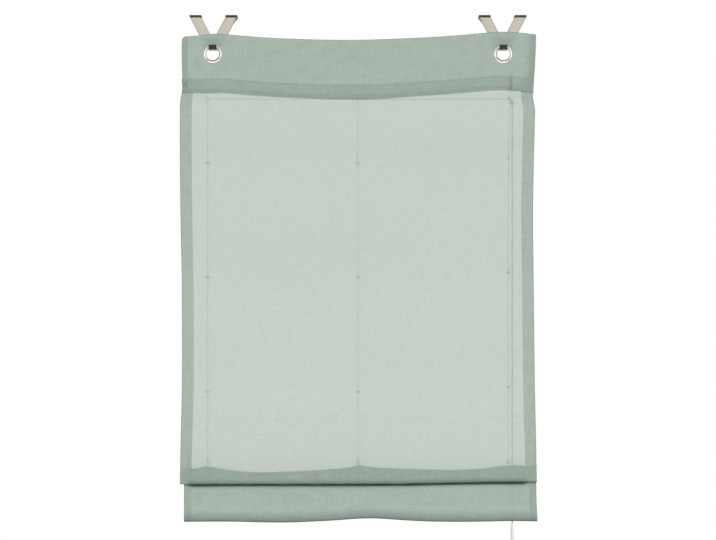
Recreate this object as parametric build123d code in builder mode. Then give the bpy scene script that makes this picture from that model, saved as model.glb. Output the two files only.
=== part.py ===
"""Roman blind of sheer voile, hung by two V hooks on a window sash. Millimetres.

+X runs to the right and +Z up, and the front faces -Y. The origin is midway between the
two hooks, on the top front edge of the sash that they hang over: the saddles rest on
z = 0 and the backs of the hooks lie on y = 0. The blind is modelled let down.
"""

import os
from math import asin, cos, degrees, radians, sin, sqrt, tan

from build123d import *

os.makedirs("parts", exist_ok=True)

# Cloth: one ply of voile, the header, the panel with its front fold, and the bottom band
blind_width = 1000.0
ply = 0.6
ply_gap = 0.8
header_height = 165.0
header_sag = 24.0
header_seam = 36.0
panel_drop = 1089.0
panel_lap = 34.0
side_hem = 34.0
fold_depth = 60.0
fold_front = 10.6
fold_width = 7.4
fold_radius = 3.2
lean_radius = 120.0
lap_radius = 30.0
end_lap = 12.0
band_narrowing = 6.0
band_shift = 7.0
band_height = 164.0
band_seam = 12.0

# Hooks: stamped strip steel, over the sash and through the eyelets
hook_steel = 1.5
hook_span = 134.0
arm_width = 32.5
arm_angle = 27.5
crotch_radius = 3.0
tab_width = 22.0
tab_drop = 94.0
tab_lip = 12.0
shoulder = 8.0
sash_depth = 18.0
rear_lip = 15.0
bend_inside = 0.4

# Eyelets: a domed ring with a barrel, clinched over a flat washer
eyelet_bore = 35.0
eyelet_sheet = 0.8
flange_width = 7.5
dome_height = 2.7
washer_width = 4.4
washer_thickness = 1.0
eyelet_inset = 91.0
eyelet_below_top = 57.5

# Rings, cords and pull
ring_wire = 2.0
ring_centre_radius = 5.0
ring_inset = 76.0
top_ring_drop = 1.0
top_row_gap = 182.0
right_column_rise = 14.0
hanging_tilt = 25.0
turning_tilt = 45.0
cord = 1.4
entry_drop = 14.0
entry_run = 20.0
knot_length = 5.0
knot_radius = 2.0
stop_knot_length = 13.0
stop_knot_radius = 4.6
stop_knot_offset = 2.6
pull_length = 60.0
pull_top_radius = 3.1
pull_bottom_radius = 5.0
pull_wall = 1.2
pull_roof = 3.6
pull_below_band = 9.0

# Clearances
soft_gap = 0.3
seat_gap = 0.1
hole_gap = 0.3
lip_gap = 1.4
cord_gap = 0.1
bundle_gap = 0.15
passing_gap = 0.5
wall_gap = 0.7

# Depths, from the sash forwards
half_width = blind_width / 2
band_width = blind_width - band_narrowing
sleeve = 2 * ply + ply_gap
ring_radius = ring_centre_radius + ring_wire / 2
ring_axis_y = -(wall_gap + ring_radius)
panel_back = ring_axis_y - ring_radius - soft_gap
panel_front = panel_back - ply
header_back = panel_front - soft_gap
header_front = header_back - sleeve
lip_back = header_front - dome_height - lip_gap
lip_front = lip_back - hook_steel
band_back = panel_back
band_front = band_back - sleeve

# Heights, from the sash downwards
bore_radius = eyelet_bore / 2
barrel_radius = bore_radius + eyelet_sheet
eyelet_x = half_width - eyelet_inset
eyelet_z = -tab_drop - sqrt(bore_radius**2 - (tab_width / 2) ** 2) + seat_gap
eyelet_rise = header_sag * (eyelet_x / half_width) ** 2
header_top = eyelet_z + eyelet_below_top - eyelet_rise
header_bottom = header_top - header_height
fold_z = header_bottom - panel_drop
band_top = fold_z + fold_depth
band_bottom = band_top - band_height

# Ring rows: the first below the header, the last on the band, the rest even along the cloth
top_row_z = header_bottom - top_ring_drop
hem_row_z = band_top + ring_wire
cloth_run = (top_row_z - fold_z) + (hem_row_z - fold_z)
ring_pitch = (cloth_run - top_row_gap) / 3
row_drops = [top_row_gap + row * ring_pitch for row in range(3)]
column_x = half_width - ring_inset
columns = {"left": -column_x, "middle": 0.0, "right": column_x}
rises = {"left": 0.0, "middle": 0.0, "right": right_column_rise}

# Cords: each has its own lane in depth, so that they pass side by side
cord_radius = cord / 2
lane_pitch = cord + cord_gap
lanes = {
    "left": ring_axis_y - lane_pitch,
    "middle": ring_axis_y,
    "right": ring_axis_y + lane_pitch,
}
rim_slant = asin(lane_pitch / ring_centre_radius)
rim_bow = ring_centre_radius * (1 - cos(rim_slant)) + ring_wire / 2 * (1 / cos(rim_slant) - 1)
turn_radius = ring_wire / 2 + cord_radius + cord_gap + rim_bow
rim_reach = ring_centre_radius * cos(radians(turning_tilt))
rim_z = top_row_z - ring_centre_radius * sin(radians(turning_tilt))
run_z = rim_z + turn_radius
pull_x = column_x + ring_radius + passing_gap + stop_knot_radius
drop_x = pull_x - stop_knot_offset
entry_x = {"left": -column_x, "middle": 0.0, "right": drop_x - 2 * turn_radius}
top_ring_x = {side: x + turn_radius - rim_reach for side, x in entry_x.items()}
entry_z = rim_z - entry_drop
stop_knot_top = rim_z - ring_wire / 2 - soft_gap
stop_knot_bottom = stop_knot_top - stop_knot_length
pull_top = band_bottom - pull_below_band
bundle_radius = (cord + bundle_gap) / sqrt(3)


def save(piece, label):
    """Label a finished piece and write it under its node's name."""
    piece.part.label = label
    export_step(piece.part, f"parts/{label}.step")


def arch(middle_z, reach):
    """Edge that sags between the hooks: its middle is at middle_z, its ends are higher."""
    rise = header_sag * (reach / half_width) ** 2
    return ThreePointArc((-reach, middle_z + rise), (0, middle_z), (reach, middle_z + rise))


def arched_outline(top, bottom, reach):
    """Outline between two sagging edges, with upright sides."""
    upper = arch(top, reach)
    lower = arch(bottom, reach)
    Line(upper @ 0, lower @ 0)
    Line(upper @ 1, lower @ 1)


def edges_at(piece, y, z):
    """The edges along X that lie at this depth and height."""
    near = 0.01
    return piece.edges().filter_by(
        lambda e: abs(e.center().Y - y) < near
        and abs(e.center().Z - z) < near
        and abs((e @ 1).Z - (e @ 0).Z) < near
        and abs((e @ 1).Y - (e @ 0).Y) < near
    )


# V hooks: a plate with two arms, saddles over the sash, and a tab with a lip for the eyelet
arm_slope = tan(radians(arm_angle))
tab_bottom = -tab_drop - hook_steel
shoulder_z = -tab_drop + shoulder
inner_top_x = hook_span / 2 - arm_width
for side, hook_x in {"left": -eyelet_x, "right": eyelet_x}.items():
    with BuildPart() as v_hook:
        with BuildSketch(Plane.XZ.shift_origin((hook_x, 0, 0))) as plate:
            with BuildLine():
                half_plate = Polyline(
                    (0, -inner_top_x / arm_slope),
                    (inner_top_x, 0),
                    (inner_top_x, hook_steel),
                    (hook_span / 2, hook_steel),
                    (hook_span / 2, 0),
                    (hook_span / 2 + shoulder_z * arm_slope, shoulder_z),
                    (tab_width / 2, tab_bottom),
                    (0, tab_bottom),
                )
                mirror(half_plate, about=Plane.YZ)
            make_face()
            crotch = plate.vertices().filter_by(
                lambda v: abs(v.Y + inner_top_x / arm_slope) < 0.01
            )
            fillet(crotch, crotch_radius)
        extrude(amount=hook_steel)
        arm_x = hook_span / 2 - arm_width / 2
        saddle_depth = sash_depth + hook_steel
        with Locations((hook_x - arm_x, saddle_depth / 2, 0), (hook_x + arm_x, saddle_depth / 2, 0)):
            Box(arm_width, saddle_depth, hook_steel, align=(Align.CENTER, Align.CENTER, Align.MIN))
        rear_y = sash_depth + hook_steel / 2
        with Locations((hook_x - arm_x, rear_y, 0), (hook_x + arm_x, rear_y, 0)):
            Box(arm_width, hook_steel, rear_lip, align=(Align.CENTER, Align.CENTER, Align.MAX))
        with Locations((hook_x, lip_front, tab_bottom)):
            Box(tab_width, -lip_front, hook_steel, align=(Align.CENTER, Align.MIN, Align.MIN))
            Box(
                tab_width, hook_steel, hook_steel + tab_lip,
                align=(Align.CENTER, Align.MIN, Align.MIN),
            )
        outside = bend_inside + hook_steel
        fillet(edges_at(v_hook, -hook_steel, hook_steel), outside)
        fillet(edges_at(v_hook, sash_depth + hook_steel, hook_steel), outside)
        fillet(edges_at(v_hook, lip_front, tab_bottom), outside)
        fillet(edges_at(v_hook, 0, 0), bend_inside)
        fillet(edges_at(v_hook, sash_depth, 0), bend_inside)
        fillet(edges_at(v_hook, lip_back, -tab_drop), bend_inside)
    save(v_hook, f"v_hook_{side}")

# Eyelets: the domed ring passes through the header, and its barrel is clinched over a washer
flange_radius = bore_radius + flange_width
clinch_radius = barrel_radius + washer_width / 2
for side, centre_x in {"left": -eyelet_x, "right": eyelet_x}.items():
    face = Plane(origin=(centre_x, header_front, eyelet_z), x_dir=(1, 0, 0), z_dir=(0, 0, -1))
    stack = sleeve + washer_thickness
    crown = bore_radius + flange_width / 2
    with BuildPart() as eyelet_ring:
        with BuildSketch(face):
            with BuildLine():
                rim = Line((flange_radius, 0), (flange_radius - eyelet_sheet, 0))
                under = ThreePointArc(
                    rim @ 1, (crown, dome_height - eyelet_sheet), (barrel_radius, eyelet_sheet / 2)
                )
                barrel = Polyline(
                    under @ 1,
                    (barrel_radius, -stack),
                    (clinch_radius, -stack),
                    (clinch_radius, -stack - eyelet_sheet),
                    (barrel_radius, -stack - eyelet_sheet),
                    (bore_radius, -stack),
                    (bore_radius, eyelet_sheet),
                )
                ThreePointArc(barrel @ 1, (crown, dome_height), rim @ 0)
            make_face()
        revolve(axis=Axis((centre_x, 0, eyelet_z), (0, 1, 0)))
    save(eyelet_ring, f"eyelet_ring_{side}")

    with BuildPart() as eyelet_washer:
        with BuildSketch(Plane.XZ.offset(-header_back).shift_origin((centre_x, header_back, eyelet_z))):
            Circle(barrel_radius + hole_gap + washer_width)
            Circle(barrel_radius + seat_gap, mode=Mode.SUBTRACT)
        extrude(amount=-washer_thickness)
    save(eyelet_washer, f"eyelet_washer_{side}")

# Header: one strip of voile folded over at the top and sewn down along its lower edge
with BuildPart() as header_band:
    with BuildSketch(Plane.XZ.offset(-header_back)):
        with BuildLine():
            arched_outline(header_top, header_bottom, half_width)
        make_face()
    extrude(amount=sleeve)
    top_edges = header_band.edges().filter_by(GeomType.CIRCLE).group_by(Axis.Z)[-1]
    fillet(top_edges, sleeve / 2 - seat_gap)
    with BuildSketch(Plane.XZ.offset(-header_back + ply)):
        with BuildLine():
            arched_outline(header_top - ply, header_bottom + header_seam, half_width + ply)
        make_face()
    extrude(amount=ply_gap, mode=Mode.SUBTRACT)
    with BuildSketch(Plane.XZ.offset(-header_back)):
        with Locations((-eyelet_x, eyelet_z), (eyelet_x, eyelet_z)):
            Circle(barrel_radius + hole_gap)
    extrude(amount=sleeve, mode=Mode.SUBTRACT)
save(header_band, "header_band")

# Panel: one ply with turned side hems, folded forwards and up again to the band's seam
panel_y = panel_back - ply / 2
front_y = panel_y - fold_front
lap_y = band_front - soft_gap - ply / 2
lean_z = top_row_z - row_drops[-1]
panel_top = header_bottom + header_sag + panel_lap
cut_depth = 5 * ply
with BuildPart() as panel:
    with BuildSketch(Plane.YZ.offset(-half_width)):
        with BuildLine():
            FilletPolyline(
                (panel_y, panel_top),
                (panel_y, lean_z),
                (front_y, fold_z + ply / 2),
                (front_y + fold_width, fold_z + ply / 2),
                (lap_y, band_top - end_lap),
                (lap_y, band_top),
                radius=[lean_radius, fold_radius, fold_radius, lap_radius],
            )
        trace(line_width=ply)
    extrude(amount=blind_width)
    for hem_x in (-half_width + side_hem / 2, half_width - side_hem / 2):
        with Locations((hem_x, panel_back, panel_top)):
            Box(side_hem, ply, panel_top - lean_z, align=(Align.CENTER, Align.MIN, Align.MAX))
    with BuildSketch(Plane.XZ.offset(-panel_back - ply * 2)):
        with BuildLine():
            arched_outline(panel_top + header_sag, header_bottom + panel_lap, half_width + ply)
        make_face()
    extrude(amount=cut_depth, both=True, mode=Mode.SUBTRACT)
save(panel, "panel")

# Bottom band: one strip folded under at the bottom and sewn to the panel along its top
with BuildPart() as bottom_band:
    with BuildSketch(Plane.XZ.offset(-band_back)):
        with Locations((band_shift, band_bottom)):
            Rectangle(band_width, band_height, align=(Align.CENTER, Align.MIN))
    extrude(amount=sleeve)
    fillet(edges_at(bottom_band, band_back, band_bottom), sleeve / 2 - seat_gap)
    fillet(edges_at(bottom_band, band_front, band_bottom), sleeve / 2 - seat_gap)
    with BuildSketch(Plane.XZ.offset(-band_back + ply)):
        with Locations((band_shift, band_bottom + ply)):
            Rectangle(
                band_width + 2 * ply, band_height - ply - band_seam,
                align=(Align.CENTER, Align.MIN),
            )
    extrude(amount=ply_gap, mode=Mode.SUBTRACT)
save(bottom_band, "bottom_band")

# Rings of the first row: turned so that the cords bend over their lower rims
for side, ring_x in top_ring_x.items():
    with BuildPart() as ring:
        with Locations(Location((ring_x, ring_axis_y, top_row_z), (0, turning_tilt, 0))):
            Torus(ring_centre_radius, ring_wire / 2)
    save(ring, f"ring_{side}_1")

# Rings of the next rows: sewn by their front edge, they hang a little below it
hanging_y = panel_back + soft_gap + ring_wire / 2 + ring_centre_radius * cos(radians(hanging_tilt))
for row, drop in enumerate(row_drops, start=2):
    for side, ring_x in columns.items():
        ring_z = top_row_z - drop + rises[side]
        with BuildPart() as ring:
            with Locations(Location((ring_x, hanging_y, ring_z), (-hanging_tilt, 0, 0))):
                Torus(ring_centre_radius, ring_wire / 2)
        save(ring, f"ring_{side}_{row}")

# Rings of the last row: pulled upright by the cord that is tied to each with a knot
sewn_y = panel_back + soft_gap + ring_wire / 2
knot_base = {}
for side, ring_x in columns.items():
    lean = degrees(asin((lanes[side] - sewn_y) / (2 * ring_centre_radius)))
    with BuildPart() as ring:
        with Locations(Location((ring_x, (lanes[side] + sewn_y) / 2, hem_row_z), (90 - lean, 0, 0))):
            Torus(ring_centre_radius, ring_wire / 2)
    save(ring, f"ring_{side}_5")
    rim_top = hem_row_z + ring_centre_radius * cos(radians(lean)) + ring_wire / 2
    knot_base[side] = rim_top - seat_gap


def knot_outline(length, radius, neck):
    """Half section of a tightened knot: a barrel with a flat at each end for the cord."""
    top = Line((0, 0), (neck, 0))
    belly = ThreePointArc(top @ 1, (radius, -length / 2), (neck, -length))
    Polyline(belly @ 1, (0, -length), (0, 0))


for side, knot_x in columns.items():
    top_of_knot = knot_base[side] + knot_length
    half_section = Plane(origin=(knot_x, lanes[side], top_of_knot), x_dir=(1, 0, 0), z_dir=(0, -1, 0))
    with BuildPart() as hem_knot:
        with BuildSketch(half_section):
            with BuildLine():
                knot_outline(knot_length, knot_radius, cord_radius + seat_gap)
            make_face()
        revolve(axis=Axis((knot_x, lanes[side], 0), (0, 0, 1)))
    save(hem_knot, f"hem_knot_{side}")

def bend_radii(points):
    """The largest arcs that a cord's runs allow, one at each corner between them."""
    radii = []
    for before, corner, after in zip(points, points[1:], points[2:]):
        first = Vector(*corner) - Vector(*before)
        second = Vector(*after) - Vector(*corner)
        turn = radians(first.get_angle(second))
        radii.append(0.45 * min(first.length, second.length) / tan(turn / 2))
    return radii


# Lift cords: straight from the knot on the band up to the first ring. The right one leans
# over between the second ring and the first, which stands beside the pull cords.
bend_z = top_row_z - row_drops[0] + right_column_rise
for side, cord_x in columns.items():
    lane_y = lanes[side]
    low = (cord_x, lane_y, knot_base[side] + knot_length)
    high = (entry_x[side], lane_y, entry_z)
    upright = (entry_x[side], lane_y, entry_z - entry_run)
    with BuildPart() as lift_cord:
        with BuildLine():
            if side == "right":
                route = [low, (cord_x, lane_y, bend_z), upright, high]
                FilletPolyline(*route, radius=bend_radii(route))
                print("lift_cord_right radii", [round(r) for r in bend_radii(route)])
            else:
                Line(low, high)
        with BuildSketch(Plane(origin=low, x_dir=(1, 0, 0), z_dir=(0, 0, 1))):
            Circle(cord_radius)
        sweep()
    save(lift_cord, f"lift_cord_{side}")

# Top cords: over the ring's rim, along under the header, and down beside the last ring
rim_turn = turn_radius - cord_gap / 10
for side, cord_x in entry_x.items():
    lane_y = lanes[side]
    start = (cord_x, lane_y, entry_z)
    with BuildPart() as top_cord:
        with BuildLine():
            FilletPolyline(
                start,
                (cord_x, lane_y, run_z),
                (drop_x, lane_y, run_z),
                (drop_x, lane_y, stop_knot_top),
                radius=[rim_turn, rim_turn],
            )
        with BuildSketch(Plane(origin=start, x_dir=(1, 0, 0), z_dir=(0, 0, 1))):
            Circle(cord_radius)
        sweep()
    save(top_cord, f"top_cord_{side}")
print(f"top cords, bend over the rims {rim_turn:.2f}")

# Stop knot: the three cords tied together, held up against the last ring's rim
stop_knot_neck = sqrt(stop_knot_offset**2 + lane_pitch**2) + cord_radius + seat_gap
with BuildPart() as stop_knot:
    with BuildSketch(Plane(origin=(pull_x, ring_axis_y, stop_knot_top), x_dir=(1, 0, 0), z_dir=(0, -1, 0))):
        with BuildLine():
            knot_outline(stop_knot_length, stop_knot_radius, stop_knot_neck)
        make_face()
    revolve(axis=Axis((pull_x, ring_axis_y, 0), (0, 0, 1)))
save(stop_knot, "stop_knot")

# Cord pull: a slim hollow cone, threaded on the cords above their end knot
neck_radius = bundle_radius + cord_radius + hole_gap
cavity_top = pull_top - pull_roof
with BuildPart() as cord_pull:
    with BuildSketch(Plane(origin=(pull_x, ring_axis_y, pull_top), x_dir=(1, 0, 0), z_dir=(0, -1, 0))):
        with BuildLine():
            Polyline(
                (neck_radius, 0),
                (pull_top_radius, 0),
                (pull_bottom_radius, -pull_length),
                (pull_bottom_radius - pull_wall, -pull_length),
                (pull_top_radius - pull_wall / 2, cavity_top - pull_top),
                (neck_radius, cavity_top - pull_top),
                close=True,
            )
        make_face()
    revolve(axis=Axis((pull_x, ring_axis_y, 0), (0, 0, 1)))
    fillet(cord_pull.edges().group_by(Axis.Z)[-1].sort_by(SortBy.LENGTH)[-1], pull_wall / 2)
save(cord_pull, "cord_pull")

# Pull knot: the end knot that carries the pull, inside its cone
with BuildPart() as pull_knot:
    with BuildSketch(Plane(origin=(pull_x, ring_axis_y, cavity_top), x_dir=(1, 0, 0), z_dir=(0, -1, 0))):
        with BuildLine():
            knot_outline(knot_length, pull_top_radius - pull_wall / 2 - seat_gap, neck_radius)
        make_face()
    revolve(axis=Axis((pull_x, ring_axis_y, 0), (0, 0, 1)))
save(pull_knot, "pull_knot")

# Pull cords: the same three cords, side by side from the stop knot down to the pull knot
for turn, side in enumerate(columns):
    bearing = radians(90 + 120 * turn)
    cord_x = pull_x + bundle_radius * cos(bearing)
    cord_y = ring_axis_y + bundle_radius * sin(bearing)
    with BuildPart() as pull_cord:
        with BuildSketch(Plane(origin=(cord_x, cord_y, cavity_top), x_dir=(1, 0, 0), z_dir=(0, 0, 1))):
            Circle(cord_radius)
        extrude(amount=stop_knot_bottom - cavity_top)
    save(pull_cord, f"pull_cord_{side}")
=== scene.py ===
from math import atan, cos, hypot, pi, sin

import bmesh
import bpy
from mathutils import Matrix, Vector, noise


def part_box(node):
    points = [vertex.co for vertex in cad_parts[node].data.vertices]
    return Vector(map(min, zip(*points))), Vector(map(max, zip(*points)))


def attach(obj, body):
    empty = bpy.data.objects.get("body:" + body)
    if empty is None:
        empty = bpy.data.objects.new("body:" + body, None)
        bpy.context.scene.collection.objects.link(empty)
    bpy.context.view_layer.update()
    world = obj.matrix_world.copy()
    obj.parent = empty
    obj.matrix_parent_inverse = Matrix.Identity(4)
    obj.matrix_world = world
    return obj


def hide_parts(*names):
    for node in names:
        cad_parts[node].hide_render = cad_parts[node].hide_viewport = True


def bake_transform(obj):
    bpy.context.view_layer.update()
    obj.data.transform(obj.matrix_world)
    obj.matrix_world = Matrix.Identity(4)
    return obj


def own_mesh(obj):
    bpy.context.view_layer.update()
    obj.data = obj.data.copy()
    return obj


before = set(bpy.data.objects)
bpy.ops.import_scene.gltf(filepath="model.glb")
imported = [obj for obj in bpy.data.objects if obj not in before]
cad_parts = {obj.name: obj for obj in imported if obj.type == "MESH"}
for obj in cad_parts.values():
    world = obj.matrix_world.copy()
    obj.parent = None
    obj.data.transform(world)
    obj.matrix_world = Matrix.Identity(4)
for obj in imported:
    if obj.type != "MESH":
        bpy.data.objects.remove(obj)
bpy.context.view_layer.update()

# ---------------------------------------------------------------------------------------
# Camera: straight on at the middle of the hanging cloth, from across the room. Light may
# pass through many plies of cloth before it reaches the camera.
# ---------------------------------------------------------------------------------------
camera_distance = 3.375
camera_height = -0.7155

camera = bpy.data.objects.new("camera", bpy.data.cameras.new("camera"))
bpy.context.collection.objects.link(camera)
camera.data.lens = 60
camera.data.sensor_width = 36
camera.location = (0, -camera_distance, camera_height)
camera.rotation_euler = (pi / 2, 0, 0)
bpy.context.scene.camera = camera
bpy.context.scene.view_settings.view_transform = "Standard"
bpy.context.scene.cycles.transparent_max_bounces = 32

# ---------------------------------------------------------------------------------------
# Lift cords, top cords and pull cords: three braided white polyester cords. Each is tied
# to a ring on the bottom band, runs up through its rings, turns over the first one and
# goes along under the header to the right, where all three come down to the pull.
# ---------------------------------------------------------------------------------------
cord_diameter = 0.0014
sides = ("left", "middle", "right")


def linear(code):
    """The linear colour of an sRGB hex code."""
    parts = [int(code[i : i + 2], 16) / 255 for i in (0, 2, 4)]
    return (*(c / 12.92 if c <= 0.04045 else ((c + 0.055) / 1.055) ** 2.4 for c in parts), 1)


def add_node(material, kind, settings=None, values=None, links=None):
    """Adds one node to a material, with its settings, socket values and incoming links."""
    node = material.node_tree.nodes.new(kind)
    for key, value in (settings or {}).items():
        setattr(node, key, value)
    for key, value in (values or {}).items():
        node.inputs[key].default_value = value
    for key, source in (links or {}).items():
        material.node_tree.links.new(source, node.inputs[key])
    return node


def new_material(name, **values):
    """A material with a Principled shader and these values on the shader's own sockets."""
    material = bpy.data.materials.new(name)
    material.use_nodes = True
    shader = material.node_tree.nodes["Principled BSDF"]
    for key, value in values.items():
        shader.inputs[key.replace("_", " ")].default_value = value
    return material, shader


def paint(material, shader, tone, relief=None):
    """Gives a material's shader its colour and its relief."""
    wire = material.node_tree.links.new
    wire(tone.outputs["Result"], shader.inputs["Base Color"])
    if relief:
        wire(relief.outputs["Normal"], shader.inputs["Normal"])


def cord_tube(name, points):
    """A cord on the smooth line with these control points. Gives its tube and that line."""
    line = bpy.data.curves.new(name + "_line", "CURVE")
    line.dimensions = "3D"
    spline = line.splines.new("NURBS")
    spline.points.add(len(points) - 1)
    for spot, place in zip(spline.points, points):
        spot.co = (*place, 1)
    spline.order_u = 3
    spline.use_endpoint_u = True
    line.resolution_u = 16
    carrier = bpy.data.objects.new(name + "_line", line)
    bpy.context.collection.objects.link(carrier)
    bpy.context.view_layer.update()
    centre = [v.co.copy() for v in bpy.data.meshes.new_from_object(carrier).vertices]
    line.bevel_depth = cord_diameter / 2
    line.bevel_resolution = 2
    line.use_fill_caps = True
    bpy.context.view_layer.update()
    tube = bpy.data.objects.new(name, bpy.data.meshes.new_from_object(carrier))
    bpy.context.collection.objects.link(tube)
    bpy.data.objects.remove(carrier)
    tube.data.shade_smooth()
    return tube, centre


# Braided polyester: matt white yarn whose two sets of strands cross on the slant, so the
# cord reads as a soft off-white line with a fine diamond relief.
braid_pitch = 0.0024
cord_material, cord_shader = new_material("braided_polyester", Roughness=0.75)
cord_place = add_node(cord_material, "ShaderNodeTexCoord")
strands = []
for slant in (1, -1):
    lean = add_node(
        cord_material,
        "ShaderNodeMapping",
        values={"Rotation": (0, 0.7 * slant, 0), "Scale": (1, 1, 1)},
        links={"Vector": cord_place.outputs["Object"]},
    )
    strand = add_node(
        cord_material,
        "ShaderNodeTexWave",
        settings={"bands_direction": "Z"},
        values={"Scale": 0.314 / braid_pitch},
        links={"Vector": lean.outputs["Vector"]},
    )
    strands.append(strand.outputs["Fac"])
crossing = add_node(
    cord_material, "ShaderNodeMath", {"operation": "MULTIPLY"}, links={0: strands[0], 1: strands[1]}
)
cord_tone = add_node(
    cord_material,
    "ShaderNodeMix",
    {"data_type": "RGBA"},
    {"A": linear("a9aca6"), "B": linear("dcdcd8")},
    {"Factor": crossing.outputs[0]},
)
cord_relief = add_node(
    cord_material,
    "ShaderNodeBump",
    values={"Strength": 0.5, "Distance": 0.0002},
    links={"Height": crossing.outputs[0]},
)
paint(cord_material, cord_shader, cord_tone, cord_relief)

# The stretches that the blind takes up when it is raised.
# The two outer points of a turn lie over the ring's rim, so that the cord clears its wire.
near_end = 6 * cord_diameter
under_turn = 0.005
knot_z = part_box("stop_knot")[1].z


def cord_line(node):
    """Where a cord's vertical stretch stands, and its two ends, from its CAD box."""
    low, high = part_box(node)
    return low.x + cord_diameter / 2, (low.y + high.y) / 2, low.z, high.z


turn_line = {}
for side in sides:
    start_x, y, low_z, high_z = cord_line(f"top_cord_{side}")
    drop_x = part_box(f"top_cord_{side}")[1].x - cord_diameter / 2
    turn_line[side] = start_x, drop_x, y, high_z - cord_diameter / 2

for side in sides:
    x, y, low_z, high_z = cord_line(f"lift_cord_{side}")
    start_x, drop_x, top_y, run_z = turn_line[side]
    route = [(x, y, low_z), (x, y, low_z + near_end)]
    replaced, ends = [f"lift_cord_{side}"], [f"hem_knot_{side}"]
    if side == "right":
        # It leans over above its second ring, to leave room for the cords beside it, and
        # turns over the first one's rim straight into the stop knot.
        lean_from_z, entry_run = -0.4001, 0.020
        route += [
            (x, y, lean_from_z), (start_x, top_y, high_z - entry_run),
            (start_x, top_y, run_z), (drop_x, top_y, run_z), (drop_x, top_y, knot_z),
        ]
        replaced.append("top_cord_right")
        ends.append("stop_knot")
    else:
        route += [(x, y, run_z - under_turn - near_end), (x, y, run_z - under_turn)]
    tube, centre = cord_tube(f"lift_cord_{side}_braid", route)
    tube.data.materials.append(cord_material)
    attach(tube, "root")
    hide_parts(*replaced)
    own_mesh(tube)

# The stretches under the header turn over the first rings' rims and end in the stop knot.
for side in ("left", "middle"):
    start_x, drop_x, y, run_z = turn_line[side]
    route = [
        (start_x, y, run_z - under_turn), (start_x, y, run_z), (start_x + near_end, y, run_z),
        (drop_x - near_end, y, run_z), (drop_x, y, run_z), (drop_x, y, knot_z),
    ]
    tube, centre = cord_tube(f"top_cord_{side}_braid", route)
    tube.data.materials.append(cord_material)
    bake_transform(tube)
    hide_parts(f"top_cord_{side}")

# The three ends hang side by side through the pull, which their last knot carries.
for side in sides:
    low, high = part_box(f"pull_cord_{side}")
    x, y = (low.x + high.x) / 2, (low.y + high.y) / 2
    route = [(x, y, high.z), (x, y, high.z - near_end), (x, y, low.z + near_end), (x, y, low.z)]
    tube, centre = cord_tube(f"pull_cord_{side}_braid", route)
    tube.data.materials.append(cord_material)
    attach(tube, "pull")
    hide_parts(f"pull_cord_{side}")

# ---------------------------------------------------------------------------------------
# Room: a pale floor two metres below the sash, and a white studio with a soft light from
# high in front and white screens at both sides. What the blind mirrors is dimmer than the
# white that is seen behind it.
# ---------------------------------------------------------------------------------------
floor_height = -2.2
floor_width = 5.6

bpy.ops.object.select_all(action="DESELECT")
bpy.ops.mesh.primitive_plane_add(size=floor_width, location=(0, 0, floor_height))
floor = bpy.context.object
floor.name = "floor"
bpy.ops.object.transform_apply(location=True)
floor_paint, floor_shader = new_material("matt_paint", Roughness=0.9)
floor_shader.inputs["Base Color"].default_value = linear("eceae6")
floor.data.materials.append(floor_paint)
floor.visible_diffuse = False

key_direction = Vector((-0.10, 0.68, -0.73))
key = bpy.data.lights.new("key_light", "SUN")
key.energy, key.angle = 4.9, 0.5
key_light = bpy.data.objects.new("key_light", key)
key_light.rotation_euler = key_direction.to_track_quat("-Z", "Y").to_euler()
key_light.visible_glossy = False
bpy.context.collection.objects.link(key_light)

studio = bpy.data.worlds.new("studio")
bpy.context.scene.world = studio
studio.use_nodes = True
sky = studio.node_tree.nodes["Background"]
seen = add_node(studio, "ShaderNodeLightPath")
toward = add_node(studio, "ShaderNodeTexCoord")
heading = add_node(studio, "ShaderNodeSeparateXYZ", links={"Vector": toward.outputs["Generated"]})
sideways = add_node(studio, "ShaderNodeMath", {"operation": "ABSOLUTE"}, links={0: heading.outputs["X"]})
behind = add_node(
    studio,
    "ShaderNodeMath",
    {"operation": "MULTIPLY_ADD"},
    {1: 0.9},
    {0: heading.outputs["Z"], 2: heading.outputs["Y"]},
)
screened = add_node(
    studio, "ShaderNodeMath", {"operation": "MAXIMUM"}, links={0: sideways.outputs[0], 1: behind.outputs[0]}
)
mirrored = add_node(
    studio,
    "ShaderNodeMapRange",
    values={"From Min": 0.30, "From Max": 0.85, "To Min": 0.36, "To Max": 1.3},
    links={"Value": screened.outputs[0]},
)
ambient = 0.42
room_light = add_node(
    studio,
    "ShaderNodeMix",
    {"data_type": "FLOAT"},
    {"A": ambient},
    {"Factor": seen.outputs["Is Glossy Ray"], "B": mirrored.outputs["Result"]},
)
above = add_node(
    studio,
    "ShaderNodeMapRange",
    values={"From Min": -0.6, "From Max": -0.1},
    links={"Value": heading.outputs["Z"]},
)
white = add_node(
    studio,
    "ShaderNodeMath",
    {"operation": "MAXIMUM"},
    links={0: seen.outputs["Is Camera Ray"], 1: above.outputs["Result"]},
)
tint = add_node(
    studio,
    "ShaderNodeMix",
    {"data_type": "RGBA"},
    {"A": linear("b89f7c"), "B": (1, 1, 1, 1)},
    {"Factor": white.outputs[0]},
)
shown = add_node(
    studio,
    "ShaderNodeMix",
    {"data_type": "FLOAT"},
    {"B": 1.0},
    {"Factor": seen.outputs["Is Camera Ray"], "A": room_light.outputs["Result"]},
)
studio.node_tree.links.new(shown.outputs["Result"], sky.inputs["Strength"])
studio.node_tree.links.new(tint.outputs["Result"], sky.inputs["Color"])

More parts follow.
